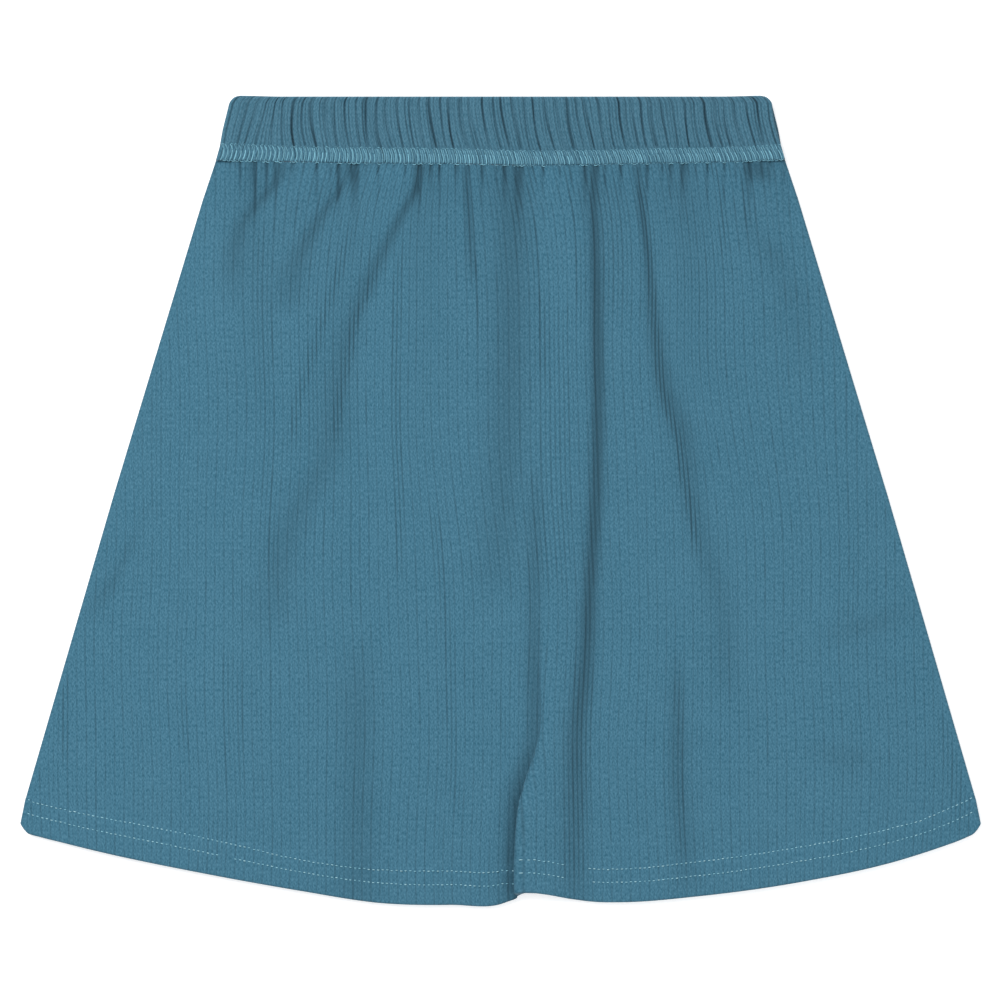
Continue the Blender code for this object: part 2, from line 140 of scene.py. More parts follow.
# Folds of the front panel from the top down: the places down, then across, a ridge's
# height or, below zero, a valley's depth, and its half width
FOLDS = (
    # Main valley
    ((36, 88, 200, 247, 288, 324, 349, 375, 405), (46.5, 48, 48, 45, 42.5, 38, 38.5, 38, 38),
     (-1.5, -1.8, -2.0, -1.9, -1.6, -1.3, -1.0, -0.7, -0.5),
     (2.6, 3.0, 3.4, 3.8, 4.4, 5, 5.5, 6, 7)),
    # Lap line
    ((180, 196, 247, 295, 325, 345, 375, 405), (19, 18, 17, 16, 15, 8, 5.5, 5),
     (0, -0.4, -0.8, -0.9, -0.9, -0.8, -0.8, -0.8), (4, 4, 4, 4, 4, 5, 6, 7)),
    # Left ridge
    ((35, 43, 75, 120, 184, 228, 260), (-56, -62, -78, -97, -109, -122, -130),
     (0.9, 1.5, 1.8, 1.8, 1.5, 1.0, 0), (10, 11, 13, 14, 15, 16, 17)),
    # Left valley
    ((36, 66, 91, 120, 148, 184, 212, 252, 280),
     (-39.5, -52.5, -65, -76, -81, -87.5, -103, -113, -118),
     (-1.4, -1.4, -1.0, -0.7, -0.6, -0.6, -0.6, -0.45, 0), (2.2, 3.0, 4.2, 5, 6, 7, 8, 9, 10)),
    # Second left valley
    ((35, 66, 78, 100, 115), (-76, -93, -99, -105, -106), (-0.9, -1.1, -0.9, -0.5, 0),
     (2.5, 3.5, 5, 7, 8)),
    # Outer left valley
    ((36, 66, 85, 110), (-109.5, -130, -133.5, -134), (-1.0, -0.9, -0.6, 0), (3, 4, 6, 7)),
    # Outer left ridge
    ((35, 60, 85, 120, 150), (-88, -112, -120, -124, -126), (0.9, 1.3, 1.2, 0.8, 0),
     (10, 11, 12, 13, 14)),
    # Short valley
    ((36, 60, 85, 100), (-17, -15.5, -14, -13), (-1.2, -1.0, -0.6, 0), (1.8, 2.0, 3, 4)),
    # Middle valley
    ((36, 120, 184, 240, 262), (6.5, 5, 2, -2, -4), (-0.7, -0.8, -0.7, -0.4, 0),
     (7, 9, 10, 11, 12)),
    # Right valley
    ((36, 82, 113, 148, 170, 196, 222, 256, 290, 315),
     (69, 74, 77, 83, 91, 94.5, 101, 110.5, 113.5, 115),
     (-1.4, -1.2, -1.0, -1.1, -0.9, -0.7, -0.6, -0.5, -0.4, 0), (1.8, 2.4, 4, 5, 6, 6, 6, 7, 7, 8)),
    # Right ridge
    ((35, 80, 130, 180, 230, 280), (84, 92, 101, 110, 120, 128), (0.8, 1.1, 1.1, 0.9, 0.6, 0),
     (10, 12, 13, 14, 15, 16)),
    # Gathers pushed together
    ((34, 39, 46), (128.5, 129.5, 131), (-1.1, -1.2, 0), (5.5, 5.5, 4)),
    # Faint drag at the right
    ((48, 67, 80, 106, 125, 150), (116, 125, 137, 148, 151, 154),
     (0, -0.28, -0.35, -0.35, -0.3, 0), (6, 7, 8, 8, 8, 8)),
    # Low right valley
    ((270, 300, 349, 390), (87, 88.5, 89.5, 93), (0, -0.7, -0.8, -0.5), (4, 4, 5, 6)),
    # Low left valley
    ((262, 290, 340, 400), (-71, -71.5, -71.5, -71.5), (0, -0.5, -0.6, -0.6), (8, 9, 9, 10)),
)

# Drag folds that run across the panel near its sides: across, down and height
DRAGS = (
    ((150, 185, 216), (272, 265, 256), (0, -0.5, 0)),
    ((145, 172, 196), (328, 331, 334), (0, -0.5, 0)),
    ((-214, -196, -170), (262, 246, 205), (0, -0.6, 0)),
)
DRAG_HALF = 6.0
FOLD_FADE = 12.0

# The main ridge, laid out as the folds are: soft above, lapping over to the left below,
# with the inner face a little lower under it
RIDGE = ((36, 88, 152, 202, 252, 292, 327, 362, 405), (36, 36, 34, 31, 28, 26, 23.5, 23, 22.5),
         (0.8, 1.3, 1.7, 2.2, 2.6, 3.4, 4.2, 4.8, 5.0), (10, 10, 10, 11, 12, 12, 12.5, 13.5, 14.5))
RIDGE_INSIDE = 0.92

# The lapping edge from the top down: across, and how much of the ridge laps there
LAP = ((255, 285, 322, 332, 343.5, 354.5, 366.5, 405),
       (20.5, 20.5, 20, 17.2, 13.6, 11.2, 9.8, 9.4), (0, 0.3, 0.45, 0.6, 0.8, 1, 1, 1))
LAP_STEP = 3.4
LAP_TOP = 8.0
LAP_FALL = 25.0
LAP_HOLLOW = 5.0
LAP_HOLLOW_RAMP = 7.0

# How far the edge leans over to the left and the cloth runs in under it, where that is
# beside the edge, and its half width
LAP_OVER = (3.2, 1.6, 2.6)
LAP_UNDER = (1.6, -2.2, 2.4)

# Lines along which the rib grooves are pressed deeper, with more painted shade: the places
# down, then across, the line's reach to each side and its strength
PRESSED = (
    ((75, 91, 110, 130, 148, 169, 181), (-57, -63, -72, -76, -80, -82.5, -84.5), 2.6, 1.7),
    ((60, 72, 97, 114, 128, 143, 158, 185), (-74, -76, -84, -89.5, -93.5, -99, -102.5, -105), 2.8,
     1.5),
    ((70, 97, 123, 161, 200, 245), (-47.5, -52, -52.5, -52, -50.7, -51.5), 2.4, 1.5),
    ((200, 268, 365), (-33, -27, -22), 2.8, 1.1),
    ((34, 72, 97, 130), (-17, -15, -12, -10.5), 2.2, 1.3),
    ((22, 57, 78, 105, 150), (16, 16, 17.5, 20, 22.5), 2.2, 1.2),
    ((24, 51, 77, 115), (32.3, 35.4, 38, 39.5), 1.8, 1.4),
    ((20, 47, 58, 85), (102, 110, 111, 111.5), 1.6, 1.7),
    ((24, 42, 54, 76), (121, 121.7, 123, 124), 1.6, 1.6),
    ((34, 85), (8.5, 8.5), 2.2, 0.9),
    ((34, 48, 68, 113, 143, 158, 172, 202, 236), (69, 70.5, 73.5, 77, 80, 84, 89, 94, 100), 2.4,
     2.0),
    ((30, 68, 111, 200, 290), (45.3, 46.3, 47, 47.6, 42), 1.5, 1.6),
    ((34, 118), (56, 58), 7.5, 0.8),
    ((95, 252), (27.5, 25), 10.5, 0.8),
    ((60, 252), (-120, -114), 4.0, 0.7),
    ((270, 362), (-137, -137), 2.0, 1.0),
    ((278, 355), (-130.5, -130.5), 2.0, 1.0),
    ((275, 325, 345, 402), (41.5, 41, 37.5, 37.5), 6.2, 1.0),
    ((275, 390), (89, 91), 2.0, 1.2),
    ((295, 335), (-2, 4), 2.5, 0.9),
    ((278, 342), (-218.5, -218), 1.8, 1.8),
    ((286, 345), (-160, -155), 2.0, 0.9),
    ((350, 390), (-141, -141), 10, 0.6),
    ((40, 180), (-97, -90), 12, 0.3),
    ((45, 150), (100, 108), 14, 0.4),
    ((300, 374), (221, 231.5), 5.0, 0.9),
)
PRESSED_FADE = 18.0

# The front panel's puff above the back one, away from its sides and less over the hem; how
# it comes down from the band; its hem's second layer, its edges and its ribs
PUFF = 1.3
PUFF_REACH = 26.0
HEM_PUFF = 0.65
CALM_SIDE = 9.0
SINKS_OVER = 16.0
SEAM_LIFT = 0.7
FREE_BELOW_SEAM = 10.0
HEM_STEP_RAMP = 1.5
HEM_EXTRA = 0.7
PILE_GAP = 0.3
EDGE_ROUND = 1.4
EDGE_RIM = 0.3
RIBS_START = 1.5
RIB_MIDDLE = 0.6

# The grids: the back panel's columns start this far to each side, rows are close together
# this near to the seam and the hem, a panel has four columns beside those that follow its
# wales, and the inner faces of the front and of the band keep every eighth column
BACK_HALF = 236
FINE_ROWS = 24
SIDE_COLUMNS = 4
INNER_STEP = 8

# Painted shade: the cloth is painted a little darker among the gathers, less and less
# downwards, and also at its edge, in the valleys, in the gathers' grooves and beside the lap
SHADED_TOP = 0.24
SHADED_REACH = 80.0
EDGE_PAINTED_SHADE = 0.5
EDGE_PAINTED_SHADE_REACH = 0.6
VALLEY_PAINTED_SHADE = 0.55
GROOVE_PAINTED_SHADE = 0.9
LAP_PAINTED_SHADE = 0.75
LAP_PAINTED_SHADE_REACH = 10.0

# The short gathers under the seam: their grooves' width as a share of a gather, how high
# they rise, how long they run, and how uneven they are
GATHER_SHARP = 0.11
GATHER_RISE = 0.45
GATHER_LENGTH = 12.0
GATHER_SHORTEST = 4.0
UNEVEN_PLACE = 0.17
UNEVEN_HEIGHT = 0.27
UNEVEN_LENGTH = 0.4

# The band's sizes, how far its right end is drawn in, and how much wider its cloth is
BAND_THICK = 3.0
BAND_HALF = 142.0
BAND_TALL = 34.0
BAND_INSET = 1.2
BAND_STRETCH = 1.25

# The band's gathers: how far they lean from side to side, and where they are calm along
# its width and flat or pressed in from its top edge, row 0, to its seam's end, row 1
BAND_SHARP = 0.085
BAND_UNEVEN = 0.08
BAND_UNEVEN_HEIGHT = 0.17
BAND_LEAN = ((-141, -128, -119, -112, -90, -50, 0, 40, 90, 130),
             (-4, -4, 1, 7.5, 8, 7.5, 7, 4.5, 0, 1))
BAND_LEAN_LATE = 1.7
BAND_LEAN_MIDDLE = 0.3
BAND_CALM = ((-0.97, -0.86, 0.97, 1), (0.35, 1, 1, 0.5))
BAND_CALM_END = 0.12
FLAT_AT_TOP = ((0, 0.04), (0.6, 1))
FLAT_AT_SEAM = ((0.73, 0.8), (1, 0.15))
SUNK = ((0.735, 0.79, 0.96, 1.0, 1.03), (0, 0.55, 0.7, 1.05, 1.2))

# The stage in metres
FLOOR_HALF = 3.0
FLOOR_LEVEL = -0.0003
CLOTH_LEVEL = 0.005
CAMERA_ASIDE = (-0.0003, 0.0005)
KEY_PLACE = (-0.75, 0.75, 1.5)
KEY_SIZE = 0.9
FILL_PLACE = (1.1, -0.5, 1.4)
FILL_SIZE = 1.2


def curve(places, values, reading):
    """A smooth curve through a table's points: cubic, with the slope of each point's
    neighbours, and level beyond the ends."""
    x = np.asarray(places, float)
    y = np.asarray(values, float)
    slope = np.gradient(y, x)
    slope[0] = slope[-1] = 0.0
    reading = np.clip(reading, x[0], x[-1])
    cell = np.clip(np.searchsorted(x, reading, side="right") - 1, 0, len(x) - 2)
    span = x[cell + 1] - x[cell]
    t = (reading - x[cell]) / span
    start = y[cell] * (1 + 2 * t) * (1 - t) ** 2 + slope[cell] * span * t * (1 - t) ** 2
    end = y[cell + 1] * t * t * (3 - 2 * t) - slope[cell + 1] * span * t * t * (1 - t)
    return start + end


def ease(t):
    """0 below 0, 1 above 1, and the smooth step 3tt - 2ttt between."""
    t = np.clip(t, 0, 1)
    return t * t * (3 - 2 * t)


def bump(distance, half):
    """A soft ridge: 1 on its line, 0.4 at its half width and near 0 at twice that."""
    return np.exp(-0.9 * (distance / half) ** 2)


def rounding(inset, radius):
    """How far a round corner lies inside its square one."""
    left = np.clip(radius - inset, 0, radius)
    return radius - np.sqrt(radius ** 2 - left ** 2)


def quarter_round(inset, radius):
    """The height, from 0 to 1, of a rounded edge at a distance in from it."""
    return np.sqrt(np.clip(1 - (1 - np.clip(inset / radius, 0, 1)) ** 2, 0, 1))


def half_width(down):
    """Half of the skirt's flat width: straight runs between the named sizes, with the
    band's top corner rounded."""
    return np.interp(down, *SIDES) - rounding(down, BAND_CORNER)


def hem_line(across):
    """How far down the hem's edge lies: the hem table's curve, with rounded ends."""
    edge = curve(*HEM, across)
    return edge - rounding(PANEL_BOX[1].x / MM - np.abs(across), HEM_CORNER)


def waist_line(across):
    """How far down the band's seam ends: the curve through the waist line's table."""
    return curve(*WAIST_LINE, across)


def side_distance(across, down):
    """How far a place lies inside the slanted side."""
    return half_width(down) - np.abs(across)


def hem_distance(across, down):
    """How far a place lies above the hem's edge."""
    return hem_line(across) - down


def seam_distance(across, down):
    """How far a place lies below the seam, and 0 above it."""
    return np.clip(down - waist_line(across), 0, None)


def panel_top(across):
    """How far down a panel begins: just under the band's seam."""
    return waist_line(across) + SEAM_GAP


def down_at(across, row):
    """How far down a row of a panel lies, from 0 at its top to 1 at its hem."""
    return panel_top(across) * (1 - row) + hem_line(across) * row


def side_of(row, sign):
    """Where each row of a panel meets its slanted side, found by going back and forth
    between the side and the row."""
    across = np.full_like(row, sign * PANEL_BOX[1].x / MM)
    for _ in range(12):
        across = sign * half_width(down_at(across, row))
    return across


def wale(start, below_seam):
    """Where the wale that hangs at "start" lies at a depth below the seam: drawn aside
    most at the seam, wandering a little, and hanging under its start from DRAWN_END down."""
    starts, at_seam, lower = DRAWN
    near = curve(starts, at_seam, start)
    far = curve(starts, lower, start)
    t = np.clip(below_seam / DRAWN_BELOW, 0, 1)
    upper = near + (far - near) * (2 * t - t * t)
    s = (below_seam - DRAWN_BELOW) / (DRAWN_END - DRAWN_BELOW)
    wander = 0.8 * np.sin(below_seam / 31 + start / 47)
    wander = wander + 0.45 * np.sin(below_seam / 17 - start / 29 + 2)
    return start + upper * (1 - ease(s)) + wander * ease(below_seam / WANDER_FROM)


def fold_height(across, down, valleys_only=False):
    """The sum of the folds' ridges and valleys at a place, without the main ridge."""
    height = np.zeros(np.broadcast(across, down).shape)
    for places, lines, rises, halves in FOLDS:
        rise = curve(places, rises, down)
        inside = np.clip(1 - (places[0] - down) / FOLD_FADE, 0, 1)
        inside = inside * np.clip(1 - (down - places[-1]) / FOLD_FADE, 0, 1)
        rise = np.minimum(rise, 0) if valleys_only else rise
        aside = across - curve(places, lines, down)
        height += rise * inside * bump(aside, curve(places, halves, down))
    for places, lines, rises in DRAGS:
        below = down - curve(places, lines, across)
        height += curve(places, rises, across) * bump(below, DRAG_HALF)
    return height


def lap_at(down):
    """The lapping edge's place and how far the ridge laps there, from 0 to 1."""
    places, lines, shares = LAP
    return curve(places, lines, down), curve(places, shares, down)


def ridge_height(across, down):
    """The main ridge: a soft bump that turns, where it laps, into a steep left side, a
    flat top and a long fall to the right."""
    line, rise, half = (curve(RIDGE[0], values, down) for values in RIDGE[1:])
    edge, share = lap_at(down)
    soft = bump(across - line, half)
    steep = ease((across - edge) / LAP_STEP + 0.5)
    fall = 1 - ease((across - edge - LAP_TOP) / LAP_FALL)
    return rise * (soft * (1 - share) + steep * fall * share)


def lap_shift(across, down):
    """The lapping edge leans out to the left over the cloth that runs in under it."""
    edge, share = lap_at(down)
    over, under = (far * np.exp(-((across - edge - beside) / half) ** 2)
                   for far, beside, half in (LAP_OVER, LAP_UNDER))
    return share * (under - over)


def uneven(number, amount):
    """An unevenness that repeats only after many gathers."""
    slow = 0.5 * np.sin(number * 0.9)
    return amount * (np.sin(number * 2.4) + 0.7 * np.sin(number * 5.3 + 1) + slow)


def gather_grooves(number, sharp, place=UNEVEN_PLACE, height=UNEVEN_HEIGHT):
    """Narrow grooves between rounded gathers: each groove lies half way between two whole
    numbers, moved by the unevenness, with its own depth."""
    phase = number + uneven(number, place)
    away = np.abs(phase - np.floor(phase) - 0.5)
    own = 1 + uneven(np.floor(phase), height) * 1.3
    groove = np.exp(-(away / sharp) ** 2) * own
    round_top = 0.5 - 0.5 * np.cos(TURN * (phase - 0.5))
    return groove, round_top * own


def hem_step(above_hem, allowance):
    """1 on the turned-up allowance, 0 above it."""
    return np.clip((allowance - above_hem) / HEM_STEP_RAMP + 1, 0, 1)


def rib_relief(start, pitch):
    """A rounded rib with a narrow groove at each whole number of ribs, every second one
    shallower: from 0 to 1."""
    groove = (0.5 + 0.5 * np.cos(TURN * start / pitch)) ** 3
    return 1 - groove * (0.72 + 0.28 * np.cos(np.pi * start / pitch))


def mesh_piece(name, points, face_groups, material, uv=None, attributes=(), merge=0.0):
    """An object from points in millimetres and arrays of faces, each array with its own
    number of corners; its UV map is in metres of cloth."""
    mesh = bpy.data.meshes.new(name)
    corners = np.concatenate([g.ravel() for g in face_groups]).astype(np.int32)
    totals = np.concatenate([np.full(len(g), g.shape[1], np.int32) for g in face_groups])
    starts = np.concatenate(([0], np.cumsum(totals)[:-1])).astype(np.int32)
    mesh.vertices.add(len(points))
    mesh.vertices.foreach_set("co", (points * MM).astype(np.float32).ravel())
    mesh.loops.add(len(corners))
    mesh.loops.foreach_set("vertex_index", corners)
    mesh.polygons.add(len(totals))
    mesh.polygons.foreach_set("loop_start", starts)
    mesh.update(calc_edges=True)
    if uv is not None:
        layer = mesh.uv_layers.new(name="cloth")
        layer.data.foreach_set("uv", (uv * MM).astype(np.float32)[corners].ravel())
    for key, values in attributes:
        attribute = mesh.attributes.new(key, "FLOAT", "POINT")
        attribute.data.foreach_set("value", values.astype(np.float32).ravel())
    if merge:
        shape = bmesh.new()
        shape.from_mesh(mesh)
        bmesh.ops.remove_doubles(shape, verts=shape.verts, dist=merge * MM)
        shape.to_mesh(mesh)
        shape.free()
    mesh.shade_smooth()
    mesh.materials.append(material)
    piece = bpy.data.objects.new(name, mesh)
    bpy.context.scene.collection.objects.link(piece)
    return piece


def shell_faces(high, wide, step):
    """Faces of a closed wall: an outer grid, an inner grid that has every step-th column of
    it, and rims between them."""
    outer = np.arange(high * wide).reshape(high, wide)
    inner = high * wide + np.arange(high * (1 + (wide - 1) // step)).reshape(high, -1)

    def quads(grid, flip):
        a, b, c, d = grid[:-1, :-1], grid[1:, :-1], grid[1:, 1:], grid[:-1, 1:]
        order = (a, d, c, b) if flip else (a, b, c, d)
        return np.stack([x.ravel() for x in order], axis=1)

    left = np.stack((inner[:-1, 0], inner[1:, 0], outer[1:, 0], outer[:-1, 0]), axis=1)
    right = np.stack((inner[1:, -1], inner[:-1, -1], outer[:-1, -1], outer[1:, -1]), axis=1)
    reach = np.arange(0, wide - 1, step)[:, None] + np.arange(step + 1)[None, :]
    top = np.hstack((inner[0, 1:, None], inner[0, :-1, None], outer[0][reach]))
    hem = np.hstack((inner[-1, :-1, None], inner[-1, 1:, None], outer[-1][reach[:, ::-1]]))
    return [quads(outer, False), quads(inner, True), left, right, top, hem]


def shell_piece(name, outer, inner, step, material, start, down, painted_shade, pressed):
    """A closed wall of cloth from its outer grid and the inner grid's kept columns. Its UV
    map is the place across and down the flat cloth, and its attributes give the knit its painted
    shade and pressed grooves."""
    def both(outside, inside):
        return np.concatenate((outside.ravel(), inside[:, ::step].ravel()))

    points = both(outer, inner).reshape(-1, 3)
    uv = np.stack((both(start, start), both(down, down)), axis=-1)
    attributes = [("painted_shade", both(painted_shade, painted_shade)), ("pressed", both(pressed, pressed))]
    faces = shell_faces(*start.shape, step)
    return mesh_piece(name, points, faces, material, uv, attributes, merge=0.002)


def placed(across, down, height):
    """Points in millimetres in the part's frame, whose waistband edge is the highest Y."""
    across, down, height = np.broadcast_arrays(across, down, height)
    return np.stack((across, BAND_BOX[1].y / MM - down, height), axis=-1)


def unit(vectors):
    """The vectors divided by their lengths."""
    return vectors / np.maximum(np.linalg.norm(vectors, axis=-1, keepdims=True), 1e-9)


def normals(surface, a, b, step_a, step_b):
    """Unit normals of surface(a, b), from central differences along both parameters."""
    along_a = surface(a + step_a, b) - surface(a - step_a, b)
    along_b = surface(a, b + step_b) - surface(a, b - step_b)
    return unit(np.cross(along_b, along_a))


class PanelCloth:
    """The front panel's surface at any place, from the sizes of the property groups."""

    def __init__(self, sizes):
        self.cloth = sizes.cloth / MM
        self.allowance = sizes.hem_allowance / MM
        self.band_level = BAND_BOX[0].z / MM
        self.pitch = sizes.rib_pitch / MM
        self.rib_height = sizes.rib_height / MM
        self.gathers = sizes.panel_gathers
        self.gather_depth = sizes.gather_depth / MM

    def layers(self, above_hem):
        """The cloth's thickness, with a second layer over the hem's allowance."""
        return self.cloth + HEM_EXTRA * hem_step(above_hem, self.allowance)

    def inside(self, across, down, ridge):
        """The inner face: it leaves the band at the band's height, sinks on to the back
        panel and rises over its folds and the given ridge."""
        above_hem = hem_distance(across, down)
        from_side = np.clip(side_distance(across, down), 0, None)
        below_seam = seam_distance(across, down)
        rest = self.layers(above_hem) + PILE_GAP
        lifted = self.band_level + SEAM_LIFT - rest
        lifted = lifted * np.exp(-(below_seam / SINKS_OVER) ** 1.5)
        near_side = 1 - np.exp(-(from_side / CALM_SIDE) ** 2)
        free = 1 - np.exp(-(from_side / PUFF_REACH) ** 2)
        puff = PUFF * free * (1 - (1 - HEM_PUFF) * hem_step(above_hem, self.allowance))
        folds = (fold_height(across, down) + ridge) * near_side
        body = np.clip(puff + folds, 0, None) * np.clip(below_seam / FREE_BELOW_SEAM, 0.25, 1)
        return rest + np.clip(lifted * near_side, 0, None) + body

    def thickness(self, across, down):
        """The cloth, its second layer in the hem, rounded off at the sides and the hem."""
        above_hem = hem_distance(across, down)
        thick = self.layers(above_hem)
        edge = np.minimum(quarter_round(side_distance(across, down), EDGE_ROUND),
                          quarter_round(above_hem, 0.5 * thick))
        return EDGE_RIM + (thick - EDGE_RIM) * edge

    def middle(self, across, row):
        """The middle of the cloth, with the main ridge lapped over."""
        down = down_at(across, row)
        half = self.layers(hem_distance(across, down)) / 2
        height = self.inside(across, down, ridge_height(across, down)) + half
        return placed(across + lap_shift(across, down), down, height)

    def gather_groove(self, across, down):
        """The short gathers under the seam, dying out downwards, each with its own length."""
        number = across / half_width(waist_line(across)) * self.gathers / 2
        groove, round_top = gather_grooves(number, GATHER_SHARP)
        which = np.floor(number + uneven(number, UNEVEN_PLACE))
        length = GATHER_LENGTH * (1 + uneven(which, UNEVEN_LENGTH))
        length = np.clip(length, GATHER_SHORTEST, None)
        fade = np.exp(-(seam_distance(across, down) / length) ** 1.5)
        return groove * fade, round_top * fade

    def outside(self, across, row, start, clear):
        """The outer face: half the cloth above its middle, with ribs and gathers."""
        normal = normals(self.middle, across, row, step_a=0.3, step_b=0.0008)
        down = down_at(across, row)
        groove, round_top = self.gather_groove(across, down)
        ribs = self.rib_height * (rib_relief(start, self.pitch) - RIB_MIDDLE) * clear
        relief = ribs + self.gather_depth * (GATHER_RISE * round_top - 1.2 * groove) * clear
        thick = self.thickness(across, down)[..., None]
        return self.middle(across, row) + normal * (thick / 2 + relief[..., None])

    def under(self, across, row):
        """The inner face, kept low and plain under the lapped edge."""
        down = down_at(across, row)
        edge, share = lap_at(down)
        late = ease((across - edge - LAP_HOLLOW) / LAP_HOLLOW_RAMP)
        ridge = ridge_height(across, down) * (1 - share + share * late)
        thin = 0.5 * (self.cloth - self.thickness(across, down))
        height = self.inside(across, down, ridge * RIDGE_INSIDE) + np.clip(thin, 0, None)
        return placed(across, down, height)


def panel_rows(long):
    """Rows of a panel from 0 to 1: close together near the seam and over the hem's
    allowance, and closest where the hem's edge rounds off."""
    low = long - FINE_ROWS
    down = np.concatenate((
        np.linspace(0, FINE_ROWS, 13),
        np.linspace(FINE_ROWS, low, 74)[1:],
        np.linspace(low, long - 2, 11)[1:],
        long - np.array((1.2, 0.6, 0.2, 0.0)),
    ))
    return down / long


def panel_columns(starts, row):
    """A grid whose columns follow the wales and end at the slanted sides, where what is
    cut off falls together; also how far each point is clear of the sides' rounding."""
    left = side_of(row, -1)[:, None]
    right = side_of(row, 1)[:, None]
    row = row[:, None]
    inner_left = left + EDGE_ROUND
    inner_right = right - EDGE_ROUND
    below = row * (hem_line(0.0) - panel_top(0.0))
    across = np.clip(wale(starts[None, :], below), inner_left, inner_right)
    clear = np.clip(np.minimum(across - inner_left, inner_right - across) / RIBS_START, 0, 1)
    part_way = 0.3 * EDGE_ROUND
    across = np.hstack((left, left + part_way, across, right - part_way, right))
    clear = np.pad(clear, ((0, 0), (2, 2)))
    start = np.tile(np.pad(starts, 2, mode="edge"), (len(row), 1))
    row = np.broadcast_to(row, across.shape)
    return across, row, start, clear


def pressed_at(across, down):
    """How deeply the rib grooves are pressed, which deepens their bump and painted shade: 1 in
    general, more along the pressed lines.
    """
    pressed = np.ones(across.shape)
    for places, lines, reach, strength in PRESSED:
        aside = across - np.interp(down, places, lines)
        ends = ease((down - places[0]) / PRESSED_FADE) * ease((places[-1] - down) / PRESSED_FADE)
        pressed += strength * ends * np.exp(-(aside / reach) ** 4)
    return pressed


def painted_shade_at(across, down):
    """How much painted shade each place gets, from 0 to about 1: in the folds' valleys
    and beside the lapped edge.
    """
    edge, share = lap_at(down)
    beside = ease((across - edge + LAP_PAINTED_SHADE_REACH) / LAP_PAINTED_SHADE_REACH) * (across < edge)
    valleys = -VALLEY_PAINTED_SHADE * fold_height(across, down, valleys_only=True)
    return np.clip(valleys, 0, 1) + LAP_PAINTED_SHADE * share * beside


def make_front(sizes, material):
    """The front panel's cloth: columns at each rib's groove, both flanks and crest, between
    the cloth's outer and inner faces, with painted shade in the folds, the gathers and at its edge."""
    cloth = PanelCloth(sizes)
    half_ribs = int(PANEL_BOX[1].x / sizes.rib_pitch) + 2
    ribs = np.arange(-half_ribs, half_ribs + 1)
    flanks = np.array((0, 0.17, 0.5, 0.83))
    starts = (ribs[:, None] + flanks[None, :]).ravel()[:-3] * cloth.pitch
    spare = (len(starts) + SIDE_COLUMNS - 1) % INNER_STEP
    starts = starts[spare // 2: len(starts) - (spare - spare // 2)]
    row = panel_rows(hem_line(0.0) - panel_top(0.0))
    across, row, start, clear = panel_columns(starts, row)
    down = down_at(across, row)
    outer = cloth.outside(across, row, start, clear)
    inner = cloth.under(across, row)
    # Painted shade: gathers' grooves, side and hem edges, below the seam, valleys, beside the lap
    groove, _ = cloth.gather_groove(across, down)
    from_edge = np.minimum(side_distance(across, down), hem_distance(across, down))
    edge_shade = EDGE_PAINTED_SHADE * np.exp(-(np.clip(from_edge, 0, None) / EDGE_PAINTED_SHADE_REACH) ** 2)
    streak = 1 + 0.35 * np.sin(start / 7.3) + 0.3 * np.sin(start / 17 + 2)
    shaded = SHADED_TOP * np.exp(-seam_distance(across, down) / SHADED_REACH) * streak
    painted_shade = np.clip(painted_shade_at(across, down) + GROOVE_PAINTED_SHADE * groove + edge_shade + shaded, 0, 1.3)
    pressed = pressed_at(across, down) * clear
    return shell_piece("front_cloth", outer, inner, INNER_STEP, material, start, down, painted_shade,
                       pressed)


def make_back(sizes, material):
    """The back panel's cloth: flat below, as high as its layers above, and rounded off at
    its sides and its hem."""
    cloth = PanelCloth(sizes)
    step = 4
    starts = np.linspace(-BACK_HALF, BACK_HALF, 70 * step + 1 - SIDE_COLUMNS)
    row = panel_rows(hem_line(0.0) - panel_top(0.0))[::2]
    across, row, start, clear = panel_columns(starts, row)
    shrink = BACK_BOX[1].x / PANEL_BOX[1].x
    down = down_at(across, row)
    above_hem = hem_distance(across, down)
    edge = np.minimum(quarter_round(side_distance(across, down), 0.6 * EDGE_ROUND),
                      quarter_round(above_hem, radius=0.5))
    outer = placed(across * shrink, down, cloth.layers(above_hem) * (0.75 + 0.25 * edge))
    inner = placed(across * shrink, down, 0.25 * cloth.cloth * (1 - edge))
    return shell_piece("back_cloth", outer, inner, step, material, start, down,
                       np.zeros(down.shape), clear)


def band_grid(columns, rows):
    """Rows from 0 at the band's top edge to 1 at its seam, closest at the edge, and shares
    of its half width from -1 to 1, as two grids."""
    rows = np.concatenate(((0, 0.012, 0.03, 0.055), np.linspace(0.09, 1, rows)))
    return np.meshgrid(rows, np.linspace(-1, 1, columns + 1), indexing="ij")


def band_place(share, row, inset):
    """Where a column of the band lies at a row: leaning as the gathers do, fanned out at
    the left end, and drawn in by "inset" at the right end."""
    middle = share * half_width(waist_line(0.0))
    from_end = 1 - np.abs(share)
    lean = np.interp(middle, *BAND_LEAN)
    lean = lean * np.clip(from_end / BAND_CALM_END, 0, 1)
    down = row * waist_line(middle)
    down = down + TOP_SAG * (1 - row) * ease(from_end * 6)
    width = half_width(down) - inset * (share > 0)
    bend = 0.7 * np.sin(row * 2.6 + share * 21) * np.clip(from_end / BAND_CALM_END, 0, 1)
    leaning = lean * (np.clip(row, 0, 1) ** BAND_LEAN_LATE - BAND_LEAN_MIDDLE)
    return share * width + leaning + bend * row * (1 - row) * 2, down


